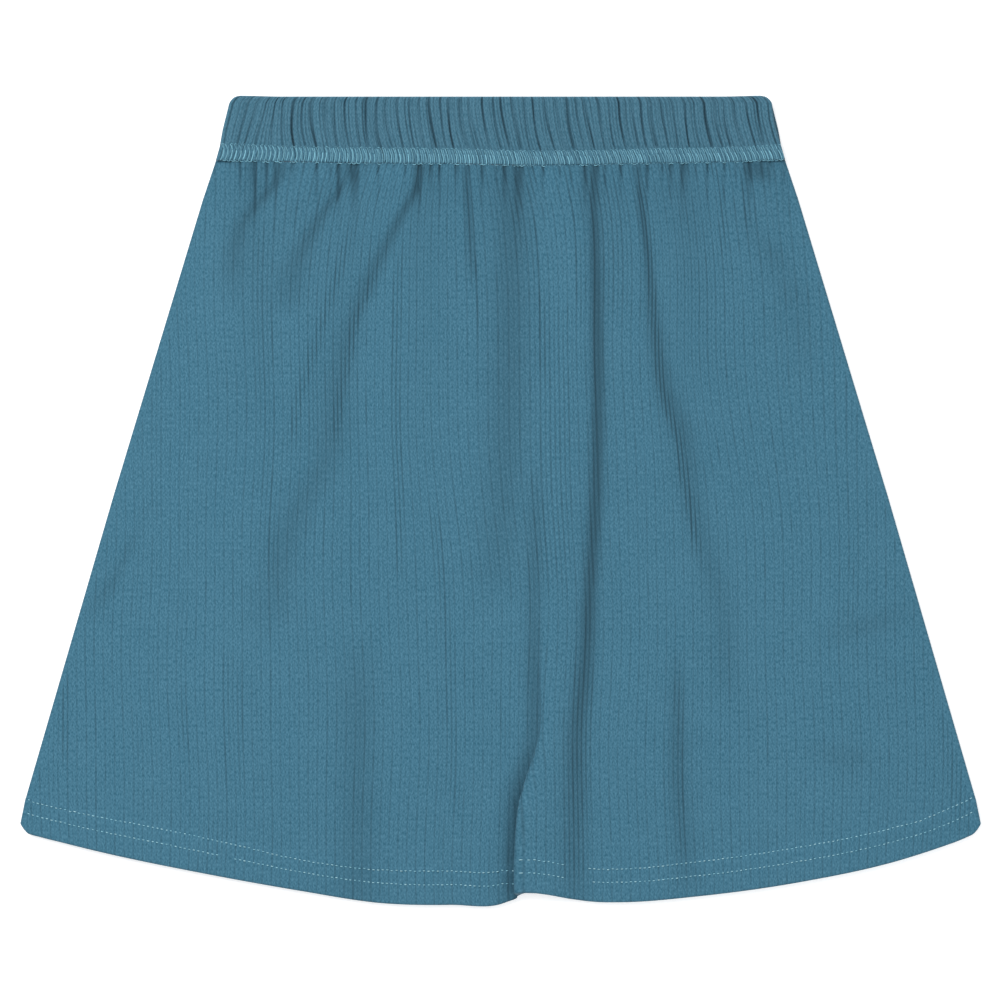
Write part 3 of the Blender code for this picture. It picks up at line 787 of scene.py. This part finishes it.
def band_relief(share, row, sizes):
    """The band's gathers: rounded, with narrow grooves that run out at one end or the
    other, and pressed flat under the seam's threads; also the painted shade in the grooves."""
    number = share * sizes.band_gathers / 2
    waved = number + 0.08 * np.sin(row * 4 + number * 1.7)
    groove, round_top = gather_grooves(waved, BAND_SHARP, BAND_UNEVEN, BAND_UNEVEN_HEIGHT)
    calm = np.interp(share, *BAND_CALM)
    groove = groove * calm
    which = np.floor(waved + uneven(waved, BAND_UNEVEN))
    run_out = 0.8 + 0.28 * np.sin(which * 2.9 + 1.2 + 3.4 * row)
    small, _ = gather_grooves(number * 2.1 + 7.3 + 0.15 * np.sin(row * 3 + number), 0.12)
    fine = 0.5 + 0.35 * np.sin(which * 4.7 + 2.6 * row)
    seam = np.interp(row, *FLAT_AT_SEAM)
    along = np.interp(row, *FLAT_AT_TOP)
    height = GATHER_RISE * round_top - groove * run_out - 0.4 * small * fine * calm
    height = sizes.gather_depth / MM * height
    # The second value is the painted shade of the grooves
    return height * seam * along, (groove * run_out + 0.5 * small * fine * calm) * seam


def sunk_at(row):
    """How far the band is pressed in where the seam's threads cross it."""
    return np.interp(row, *SUNK)


def make_band(sizes, material):
    """The band's front half, as thick as two layers of knit and the elastic: a flat face
    with the gathers' relief and fine ribs on it, sunk where the seam's threads cross it and
    rounded off at its top edge and its ends."""
    level = BAND_BOX[0].z / MM
    row, share = band_grid(150 * INNER_STEP, 40)
    inset = BAND_INSET * np.sin(np.pi * np.clip((row - 0.12) / 0.68, 0, 1))
    across, down = band_place(share, row, inset)
    down = down + SEAM_GAP * row
    relief, groove = band_relief(share, row, sizes)
    from_end = 1 - np.abs(share)
    edge = quarter_round(row * BAND_TALL, radius=1.6)
    side = 0.35 + 0.65 * quarter_round(from_end * BAND_HALF, radius=1.7)
    start = share * BAND_HALF * BAND_STRETCH
    ribs = 0.3 * (rib_relief(start, sizes.rib_pitch / MM) - RIB_MIDDLE)
    body = BAND_THICK / 2 - sunk_at(row) + (relief + ribs) * np.clip(from_end * 60, 0, 1)
    outer = placed(across, down, level + BAND_THICK / 2 + body * edge * side)
    inner = placed(across, down, np.full_like(across, level) + 0.5 * (1 - edge))
    # Painted shade in the gathers' grooves
    return shell_piece("waistband_front_cloth", outer, inner, INNER_STEP, material, start,
                       down, np.clip(groove, 0, 1.2), np.full(row.shape, 1.3))


def make_back_band(sizes, material):
    """The band's back half, on which the skirt lies: the same distance above and below its
    middle, less towards its rounded top edge and ends."""
    middle = BACK_BAND_BOX[1].z / MM / 2
    row, share = band_grid(40 * INNER_STEP, 16)
    across, down = band_place(share, row, 0.0)
    edge = quarter_round(row * BAND_TALL, radius=1.5)
    side = quarter_round((1 - np.abs(share)) * BAND_HALF, radius=1.5)
    body = middle * (0.3 + 0.7 * np.minimum(edge, side))
    outer = placed(across, down, middle + body)
    inner = placed(across, down, np.clip(middle - body, 0, None))
    start = share * BAND_HALF * BAND_STRETCH
    # Painted shade at the right end, where the back half shows from under the front one
    return shell_piece("waistband_back_cloth", outer, inner, INNER_STEP, material, start,
                       down, ease(share * 12 - 10.9), np.full(row.shape, 0.8))


def strands(paths, radius, sides):
    """Closed thread tubes along many paths at once: a ring of points round each path point,
    square to the path, and a polygon over each end."""
    count, long = paths.shape[:2]
    along = unit(np.gradient(paths, axis=1))
    aside = unit(np.cross(along, (0.0, 0.0, 1.0)))
    above = np.cross(aside, along)
    angle = np.arange(sides) * TURN / sides
    radius = np.broadcast_to(radius, (count, long))[:, :, None, None]
    ring = np.cos(angle)[:, None] * aside[:, :, None] + np.sin(angle)[:, None] * above[:, :, None]
    points = paths[:, :, None] + radius * ring
    index = np.arange(count * long * sides).reshape(count, long, sides)
    around = np.roll(index, -1, axis=2)
    walls = np.stack((index[:, :-1], index[:, 1:], around[:, 1:], around[:, :-1]), axis=-1)
    ends = [index[:, 0, :], index[:, -1, ::-1]]
    return points.reshape(-1, 3), [walls.reshape(-1, 4), *ends]


def make_hem_stitches(sizes, material):
    """Two rows of needle stitches on the front panel, each stitch a short thread that dips
    in at both ends; none where the main fold swallows them. Left of the lap they keep
    their level where the edge curves up to the lap's step."""
    cloth = PanelCloth(sizes)
    thread = sizes.thread / MM
    pitch = sizes.stitch_pitch / MM
    half = PANEL_BOX[1].x / MM - 2.0
    places = np.arange(-half, half, pitch)
    part = np.linspace(-0.5, 0.5, 7)
    chance = np.random.default_rng(5)
    paths, shades, radii = [], [], []
    for above, share, gaps in NEEDLE_ROWS:
        above = above + share * curve(*STITCH_RISE, places)
        kept = np.abs(places) < half_width(hem_line(places) - above) - 1.3
        for first, last in gaps:
            kept &= (places < first) | (places > last)
        above = above[kept][:, None]
        kept = places[kept]
        middle = kept + chance.uniform(-STITCH_STRAYS, STITCH_STRAYS, len(kept))
        long = chance.uniform(*STITCH_LONG, len(kept)) * pitch
        across = middle[:, None] + long[:, None] * part[None, :]
        wander = chance.uniform(-STITCH_STRAYS, STITCH_STRAYS, len(kept))[:, None]
        left_of_lap = np.clip(LAP_FOOT_DOWN - hem_line(across), 0, None) * (across < LAP_FOOT)
        left_of_lap = left_of_lap * ease((across + 30) / 20)
        above_hem = above + wander - left_of_lap
        row = 1 - above_hem / (hem_line(across) - panel_top(across))
        start = np.full(across.shape, 0.5 * cloth.pitch)
        surface = cloth.outside(across, row, start, np.ones(across.shape))
        surface[..., 2] += 0.5 * thread * (1 - (2 * part) ** 4 * 2.2)
        paths.append(surface)
        shades.append(chance.uniform(0.0, 1.0, len(kept)))
        radii.append(chance.uniform(*STITCH_THICK, len(kept)) * thread / 2)
    paths = np.concatenate(paths)
    points, faces = strands(paths, np.concatenate(radii)[:, None], 6)
    shade = np.repeat(np.concatenate(shades), paths.shape[1] * 6)
    return mesh_piece("hem_stitches", points, faces, material, None, [("shade", shade)])


def make_waist_seam(sizes, material):
    """The flat seam's threads over the joint of band and panel: strokes bent at the left
    end and slanted towards the right, darker ones between, and loops along both edges."""
    thread = sizes.thread / MM
    chance = np.random.default_rng(11)
    count = int(2 * SEAM_HALF / (sizes.seam_pitch / MM))
    pitch = 2 * SEAM_HALF / count
    places = (np.arange(count) + 0.5 - count / 2) * pitch

    def over(across, down):
        """The face under the threads: the band's, then down over the joint."""
        row = down / waist_line(across)
        share = np.clip(across / half_width(down), -0.995, 0.995)
        relief, _ = band_relief(share, row, sizes)
        return BAND_BOX[0].z / MM + BAND_THICK - sunk_at(row) + relief

    def row_of(shift, high, low, ends, bow, sag, lift, fat, tone, long):
        """One kind of stroke at every place: from "high" to "low" millimetres above the
        joint, less where the table says so, its two ends set aside as the tables say, bowed
        to the right and sagging."""
        part = np.linspace(0, 1, long)[None, :]
        middle = places[:, None] + shift * pitch
        own = chance.uniform(-1, 1, (4, count, 1))
        rise = high + STROKE_STRAYS * own[0] + (low - high + STROKE_STRAYS * own[1]) * part
        rise = rise * np.interp(middle, SEAM_PLACES, SEAM_TALL)
        arched = 1 - (2 * part - 1) ** 2
        down = waist_line(middle) - rise + sag * arched
        first, last = (np.interp(middle, SEAM_PLACES, end) for end in ends)
        across = middle + first + (last - first) * part + bow * (1 + 0.5 * own[2]) * arched
        reach = half_width(down) - STROKE_FROM_SIDE
        across = np.clip(across + STROKE_STRAYS_ASIDE * own[3], -reach, reach)
        end = np.abs(2 * part - 1) ** 8
        height = over(across, down) + (lift - STROKE_DIP * end) * thread
        width = fat * thread * chance.uniform(*STROKE_THICK, (count, 1))
        points, faces = strands(placed(across, down, height), width, 6)
        shade = np.repeat(chance.uniform(*tone, count), long * 6)
        return points, faces, shade

    kinds = (
        row_of(0.0, 5.2, -0.2, (SEAM_MIDDLE, SEAM_LOW), 0.35, 0, 0.5, 0.5, (0.4, 1.0), 8),
        row_of(0.0, 8.0, 5.0, (SEAM_HIGH, SEAM_MIDDLE), 0.15, 0, 0.4, 0.38, (0.35, 0.9), 6),
        row_of(0.5, 7.9, 0.0, (SEAM_HIGH, SEAM_LOW), 0.5, 0, 0.15, 0.5, (0.1, 0.55), 9),
        row_of(0.5, -0.1, -0.1, ((-1.1,) * 5, (1.1,) * 5), 0, 0.6, 0.5, 0.34, (0.35, 0.95), 5),
        row_of(0.2, 7.7, 7.7, ((-0.7,) * 5, (0.7,) * 5), 0, -0.5, 0.3, 0.32, (0.2, 0.8), 5),
    )
    points, groups, shades, offset = [], [], [], 0
    for own_points, own_faces, own_shade in kinds:
        groups.extend(faces + offset for faces in own_faces)
        offset += len(own_points)
        points.append(own_points)
        shades.append(own_shade)
    return mesh_piece("waist_seam_thread", np.concatenate(points), groups, material, None,
                      [("shade", np.concatenate(shades))])


def feed(socket, value):
    """Set an input to a number or a colour, or link another node's output to it."""
    if isinstance(value, bpy.types.NodeSocket):
        socket.id_data.links.new(value, socket)
    else:
        socket.default_value = value


def feed_all(node, values):
    """Feed a node's inputs from a dictionary of their names or numbers."""
    for key, value in values.items():
        feed(node.inputs[key], value)


def math_node(tree, operation, *values):
    """A Math node with its inputs fed; its output."""
    node = tree.nodes.new("ShaderNodeMath")
    node.operation = operation
    feed_all(node, dict(enumerate(values)))
    return node.outputs[0]


def mix_colours(tree, factor, first, second, blend="MIX"):
    """A colour Mix node; its output."""
    node = tree.nodes.new("ShaderNodeMix")
    node.data_type = "RGBA"
    node.blend_type = blend
    feed_all(node, {0: factor, 6: first, 7: second})
    return node.outputs[2]


def noise(tree, vector, scale, detail, roughness=0.5):
    """A Noise Texture's value at a place."""
    node = tree.nodes.new("ShaderNodeTexNoise")
    feed_all(node, {"Vector": vector, "Scale": scale, "Detail": detail, "Roughness": roughness})
    return node.outputs["Fac"]


def stretched(tree, x, y, z=0.0):
    """A vector from separate values."""
    node = tree.nodes.new("ShaderNodeCombineXYZ")
    feed_all(node, {0: x, 1: y, 2: z})
    return node.outputs[0]


def bumped(tree, height, strength, distance):
    """The normal that a Bump node gives for a height."""
    node = tree.nodes.new("ShaderNodeBump")
    feed_all(node, {"Height": height, "Strength": strength, "Distance": distance})
    return node.outputs["Normal"]


def new_group(name, inputs, outputs):
    """An empty shader node group with its named sockets."""
    tree = bpy.data.node_groups.new(name, "ShaderNodeTree")
    for socket, kind, default in inputs:
        made = tree.interface.new_socket(name=socket, in_out="INPUT",
                                         socket_type="NodeSocket" + kind)
        made.default_value = default
    for socket, kind in outputs:
        tree.interface.new_socket(name=socket, in_out="OUTPUT", socket_type="NodeSocket" + kind)
    return tree, tree.nodes.new("NodeGroupInput"), tree.nodes.new("NodeGroupOutput")


def knit_group():
    """Rib knit: grooves between wales with painted shade, uneven along their length, rows of
    small knitted loops across them, a heathered yarn, and painted shade in the creases. It reads
    the cloth's own UV map in metres."""
    name = "rib knit surface"
    if name in bpy.data.node_groups:
        return bpy.data.node_groups[name]
    tree, inside, outside = new_group(
        name,
        (("Cloth", "Vector", (0, 0, 0)), ("Colour", "Color", (0.06, 0.18, 0.26, 1)),
         ("Shadow", "Color", (0.02, 0.06, 0.09, 1)), ("Pitch", "Float", 0.0023),
         ("Course", "Float", 0.0011), ("Pressed", "Float", 1.0), ("Painted shade", "Float", 0.0)),
        (("Colour", "Color"), ("Roughness", "Float"), ("Height", "Float")),
    )
    given = inside.outputs
    apart = tree.nodes.new("ShaderNodeSeparateXYZ")
    feed(apart.inputs[0], given["Cloth"])
    across, along = apart.outputs[:2]

    def calc(operation, *values):
        return math_node(tree, operation, *values)

    def times(value, factor):
        return calc("MULTIPLY", value, factor)

    def scaled(value, factor, more):
        """A value times a factor, and more added to it."""
        return calc("MULTIPLY_ADD", value, factor, more)

    def grain(x, along_scale, detail, roughness=0.5):
        """Noise stretched along the wales."""
        place = stretched(tree, x, times(along, along_scale))
        return noise(tree, place, 1.0, detail, roughness)

    # The grooves, for the bump and the painted shade: every second one shallower, each
    # wale's own broken up by two noises
    ribs = calc("DIVIDE", across, given["Pitch"])
    wave = calc("COSINE", times(ribs, TURN))
    groove = calc("POWER", scaled(wave, 0.5, 0.5), 3.0)
    wale_number = calc("ROUND", ribs)
    chance = tree.nodes.new("ShaderNodeTexWhiteNoise")
    chance.noise_dimensions = "1D"
    feed(chance.inputs["W"], wale_number)
    chance = calc("POWER", chance.outputs["Value"], 2.5)
    wale_number = times(wale_number, 0.73)
    own = scaled(grain(wale_number, 22.0, 2.0), 4.0, -1.4)
    own = times(calc("MAXIMUM", own, 0.0), chance)
    second = calc("COSINE", times(ribs, 0.5 * TURN))
    own = scaled(own, 0.42, scaled(second, 0.2, 0.54))
    broken = scaled(grain(wale_number, 95.0, 1.0), 2.4, -0.2)
    own = calc("MAXIMUM", times(own, broken), 0.0)

    # Pressed over 1 adds to every groove, and under 1 it fades them
    deep = calc("MAXIMUM", calc("SUBTRACT", given["Pressed"], 1.0), 0.0)
    plain = calc("MINIMUM", given["Pressed"], 1.0)
    own = scaled(own, plain, times(deep, 0.75))
    groove = times(groove, own)

    # The loops stand slanted on both flanks of a wale
    centre = calc("ABSOLUTE", calc("SUBTRACT", calc("FRACT", ribs), 0.5))
    slant = scaled(centre, 1.3, calc("DIVIDE", along, given["Course"]))
    loops = calc("COSINE", times(slant, TURN))

    # The yarn's heather varies most in red and least in blue
    fibre = grain(times(across, 1500.0), 560.0, 2.0, 0.6)
    patch = noise(tree, given["Cloth"], 60.0, 3.0)
    broad = noise(tree, given["Cloth"], 9.0, 2.0)
    shade = scaled(fibre, 1.45, 0.285)
    shade = scaled(patch, 0.12, calc("SUBTRACT", shade, 0.06))
    shade = scaled(broad, 0.1, calc("SUBTRACT", shade, 0.05))
    shade = scaled(loops, 0.06, shade)
    red_shade = scaled(shade, 1.75, -0.75)
    blue_shade = scaled(shade, 0.88, 0.12)
    shades = stretched(tree, red_shade, shade, blue_shade)
    toned = mix_colours(tree, 1.0, given["Colour"], shades, "MULTIPLY")
    # Painted shade: the grooves and the creases are mixed towards the shadow colour
    dark = scaled(groove, 0.33, times(given["Painted shade"], 0.6))
    dark = calc("MINIMUM", dark, 0.85)
    height = scaled(loops, 0.25, times(groove, -0.8))
    feed_all(outside, {
        "Colour": mix_colours(tree, dark, toned, given["Shadow"]),
        "Roughness": scaled(fibre, 0.14, 0.78),
        "Height": scaled(fibre, 0.5, height),
    })
    return tree


def principled(name):
    """A new material, its node tree and its Principled shader."""
    material = bpy.data.materials.new(name)
    material.use_nodes = True
    shader = material.node_tree.nodes["Principled BSDF"]
    shader.inputs["Metallic"].default_value = 0.0
    return material, material.node_tree, shader


def attribute(tree, name):
    """The value of one of the mesh's own attributes."""
    node = tree.nodes.new("ShaderNodeAttribute")
    node.attribute_name = name
    return node.outputs["Fac"]


def knit_material(name, colour, strength, scene):
    """Matt rib knit with a soft nap."""
    if name in bpy.data.materials:
        return bpy.data.materials[name]
    material, tree, shader = principled(name)
    group = tree.nodes.new("ShaderNodeGroup")
    group.node_tree = knit_group()
    cloth = tree.nodes.new("ShaderNodeUVMap")
    cloth.uv_map = "cloth"
    feed_all(group, {
        "Cloth": cloth.outputs["UV"],
        "Colour": (*colour, 1),
        "Shadow": (*scene.skirt_colours.painted_shade, 1),
        "Pitch": scene.skirt_sizes.rib_pitch,
        "Course": scene.skirt_sizes.course,
        "Pressed": attribute(tree, "pressed"),
        "Painted shade": attribute(tree, "painted_shade"),
    })
    feed_all(shader, {
        "Base Color": group.outputs["Colour"],
        "Roughness": group.outputs["Roughness"],
        "Normal": bumped(tree, group.outputs["Height"], strength, 0.0002),
        "Specular IOR Level": 0.25,
        "Sheen Weight": 0.1,
        "Sheen Roughness": 0.5,
        "Sheen Tint": (0.75, 0.9, 1.0, 1),
    })
    return material


def thread_material(name, light, dark):
    """Spun thread: lighter and darker stitches, with a fine twist."""
    if name in bpy.data.materials:
        return bpy.data.materials[name]
    material, tree, shader = principled(name)
    place = tree.nodes.new("ShaderNodeTexCoord").outputs["Object"]
    twist = noise(tree, place, 2600.0, 1.0)
    tone = math_node(tree, "MULTIPLY_ADD", math_node(tree, "SUBTRACT", twist, 0.5), 0.5,
                     attribute(tree, "shade"))
    tone = math_node(tree, "MINIMUM", math_node(tree, "MAXIMUM", tone, 0.0), 1.0)
    feed_all(shader, {
        "Base Color": mix_colours(tree, tone, (*dark, 1), (*light, 1)),
        "Normal": bumped(tree, twist, 0.4, 0.0001),
        "Roughness": 0.55,
        "Specular IOR Level": 0.35,
        "Sheen Weight": 0.15,
    })
    return material


class SkirtSizes(bpy.types.PropertyGroup):
    """Sizes of the cloth, its ribs, gathers and stitches."""

    cloth: FloatProperty(
        name="Cloth", description="Thickness of the knit", default=0.0012, unit="LENGTH")
    rib_pitch: FloatProperty(
        name="Rib pitch", description="From one wale to the next", default=0.0023, unit="LENGTH")
    rib_height: FloatProperty(
        name="Rib height", description="From groove to crest", default=0.00018, unit="LENGTH")
    course: FloatProperty(
        name="Course", description="From one row of loops to the next", default=0.0018,
        unit="LENGTH")
    hem_allowance: FloatProperty(
        name="Hem allowance", description="How far the hem is turned up", default=0.0165,
        unit="LENGTH")
    band_gathers: IntProperty(
        name="Band gathers", description="Gathers across the front of the waistband", default=52)
    panel_gathers: IntProperty(
        name="Panel gathers", description="Short gathers under the seam", default=45)
    gather_depth: FloatProperty(
        name="Gather depth", description="Depth of the grooves between gathers",
        default=0.0009, unit="LENGTH")
    thread: FloatProperty(
        name="Thread", description="Thickness of the sewing thread", default=0.00055,
        unit="LENGTH")
    stitch_pitch: FloatProperty(
        name="Stitch pitch", description="From one hem stitch to the next", default=0.0023,
        unit="LENGTH")
    seam_pitch: FloatProperty(
        name="Seam pitch", description="From one stroke of the flat seam to the next",
        default=0.00215, unit="LENGTH")


class SkirtColours(bpy.types.PropertyGroup):
    """Colours of the knit, its painted shade and the threads."""

    knit: FloatVectorProperty(
        name="Knit", description="Dusty teal of the panels", size=3, subtype="COLOR",
        default=(0.0495, 0.163, 0.241), min=0, max=1)
    band: FloatVectorProperty(
        name="Band", description="The same knit in the gathered band", size=3,
        subtype="COLOR", default=(0.055, 0.158, 0.226), min=0, max=1)
    # The colour of the painted shade in grooves and creases
    painted_shade: FloatVectorProperty(
        name="Painted shade", description="The knit's colour deep in a groove or crease", size=3,
        subtype="COLOR", default=(0.016, 0.056, 0.084), min=0, max=1)
    thread: FloatVectorProperty(
        name="Hem thread", description="Light aqua thread of the hem's stitches", size=3,
        subtype="COLOR", default=(0.40, 0.68, 0.76), min=0, max=1)
    seam_light: FloatVectorProperty(
        name="Seam thread, light", description="Lightest stitches of the flat seam", size=3,
        subtype="COLOR", default=(0.21, 0.50, 0.625), min=0, max=1)
    seam_dark: FloatVectorProperty(
        name="Seam thread, dark", description="Darkest stitches of the flat seam", size=3,
        subtype="COLOR", default=(0.038, 0.14, 0.21), min=0, max=1)


class StageSizes(bpy.types.PropertyGroup):
    """Camera and light."""

    picture: FloatProperty(
        name="Picture side", description="Width of floor that the picture shows", default=0.5,
        unit="LENGTH")
    lens: FloatProperty(name="Lens", description="Focal length", default=240.0, unit="CAMERA")
    key: FloatProperty(name="Key light", description="Power of the key light", default=20.0,
                       unit="POWER")
    fill: FloatProperty(name="Fill light", description="Power of the fill light", default=6.0,
                        unit="POWER")
    sky: FloatProperty(name="Sky", description="Strength of the light all round", default=0.6)


def finish_piece(piece, node):
    """The piece rides on the part's one body and stands for its node."""
    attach(piece, "root")
    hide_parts(node)
    return piece


def panel_knit(scene):
    """The knit of both panels."""
    return knit_material("panel rib knit", scene.skirt_colours.knit, 0.55, scene)


class SKIRT_OT_back_panel(bpy.types.Operator):
    """Add the back panel's cloth"""

    bl_idname = "skirt.back_panel"
    bl_label = "Back Panel"

    def execute(self, context):
        piece = make_back(context.scene.skirt_sizes, panel_knit(context.scene))
        finish_piece(piece, "back_panel")
        return {"FINISHED"}


class SKIRT_OT_front_panel(bpy.types.Operator):
    """Add the front panel's cloth with its folds, ribs and gathers"""

    bl_idname = "skirt.front_panel"
    bl_label = "Front Panel"

    def execute(self, context):
        piece = make_front(context.scene.skirt_sizes, panel_knit(context.scene))
        finish_piece(piece, "front_panel")
        return {"FINISHED"}


class SKIRT_OT_waistband(bpy.types.Operator):
    """Add both halves of the gathered waistband"""

    bl_idname = "skirt.waistband"
    bl_label = "Waistband"

    def execute(self, context):
        sizes = context.scene.skirt_sizes
        knit = knit_material("band rib knit", context.scene.skirt_colours.band, 0.5,
                             context.scene)
        back = make_back_band(sizes, knit)
        finish_piece(back, "waistband_back")
        front = make_band(sizes, knit)
        finish_piece(front, "waistband_front")
        return {"FINISHED"}


class SKIRT_OT_stitching(bpy.types.Operator):
    """Add the flat seam's threads and the hem's two needle rows"""

    bl_idname = "skirt.stitching"
    bl_label = "Stitching"

    def execute(self, context):
        sizes = context.scene.skirt_sizes
        colours = context.scene.skirt_colours
        hem_thread = thread_material("hem thread", colours.thread, colours.seam_light)
        seam_thread = thread_material("seam thread", colours.seam_light, colours.seam_dark)
        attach(make_hem_stitches(sizes, hem_thread), "root")
        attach(make_waist_seam(sizes, seam_thread), "root")
        return {"FINISHED"}


class SKIRT_OT_stage(bpy.types.Operator):
    """Add the pale floor, the soft lights and the camera straight above"""

    bl_idname = "skirt.stage"
    bl_label = "Stage"

    def execute(self, context):
        stage = context.scene.skirt_stage
        mesh = bpy.data.meshes.new("floor")
        corners = ((-1, -1), (1, -1), (1, 1), (-1, 1))
        mesh.from_pydata([(x * FLOOR_HALF, y * FLOOR_HALF, FLOOR_LEVEL) for x, y in corners],
                         [], [(0, 1, 2, 3)])
        floor = bpy.data.objects.new("floor", mesh)
        context.scene.collection.objects.link(floor)
        material, tree, shader = principled("pale floor")
        place = tree.nodes.new("ShaderNodeTexCoord").outputs["Object"]
        tone = math_node(tree, "MULTIPLY_ADD", noise(tree, place, 4.0, 2.0), 0.02, 0.86)
        feed_all(shader, {"Base Color": stretched(tree, tone, tone, tone), "Roughness": 0.9,
                          "Emission Color": (1, 1, 1, 1), "Emission Strength": 0.45})
        mesh.materials.append(material)
        self.add_light("key", KEY_PLACE, KEY_SIZE, stage.key)
        self.add_light("fill", FILL_PLACE, FILL_SIZE, stage.fill)
        world = bpy.data.worlds.new("studio")
        world.use_nodes = True
        feed_all(world.node_tree.nodes["Background"],
                 {"Color": (1, 1, 1, 1), "Strength": stage.sky})
        context.scene.world = world
        context.scene.view_settings.view_transform = "Standard"
        lens = bpy.data.cameras.new("camera")
        lens.lens = stage.lens
        camera = bpy.data.objects.new("camera", lens)
        distance = stage.picture * stage.lens / lens.sensor_width
        camera.location = (*CAMERA_ASIDE, distance + CLOTH_LEVEL)
        context.scene.collection.objects.link(camera)
        context.scene.camera = camera
        return {"FINISHED"}

    def add_light(self, name, place, size, power):
        """A square soft light that faces the middle of the floor."""
        light = bpy.data.lights.new(name, "AREA")
        light.size = size
        light.energy = power
        holder = bpy.data.objects.new(name, light)
        holder.location = place
        aim = -holder.location
        holder.rotation_euler = aim.to_track_quat("-Z", "Y").to_euler()
        bpy.context.scene.collection.objects.link(holder)


OPERATORS = (SKIRT_OT_stage, SKIRT_OT_back_panel, SKIRT_OT_front_panel, SKIRT_OT_waistband,
             SKIRT_OT_stitching)


class VIEW3D_PT_skirt(bpy.types.Panel):
    """The skirt's sizes, colours and pieces"""

    bl_label = "Skirt"
    bl_space_type = "VIEW_3D"
    bl_region_type = "UI"
    bl_category = "Skirt"

    def draw(self, context):
        for group in ("skirt_sizes", "skirt_colours", "skirt_stage"):
            settings = getattr(context.scene, group)
            for name in settings.__annotations__:
                self.layout.prop(settings, name)
        for operator in OPERATORS:
            self.layout.operator(operator.bl_idname)


GROUPS = {"skirt_sizes": SkirtSizes, "skirt_colours": SkirtColours, "skirt_stage": StageSizes}


def register():
    for name, group in GROUPS.items():
        bpy.utils.register_class(group)
        setattr(bpy.types.Scene, name, PointerProperty(type=group))
    for operator in OPERATORS:
        bpy.utils.register_class(operator)
    bpy.utils.register_class(VIEW3D_PT_skirt)


def unregister():
    bpy.utils.unregister_class(VIEW3D_PT_skirt)
    for operator in reversed(OPERATORS):
        bpy.utils.unregister_class(operator)
    for name, group in GROUPS.items():
        delattr(bpy.types.Scene, name)
        bpy.utils.unregister_class(group)


def main():
    """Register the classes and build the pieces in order."""
    register()
    bpy.ops.skirt.stage()
    bpy.ops.skirt.back_panel()
    bpy.ops.skirt.front_panel()
    bpy.ops.skirt.waistband()
    bpy.ops.skirt.stitching()


if __name__ == "__main__":
    main()
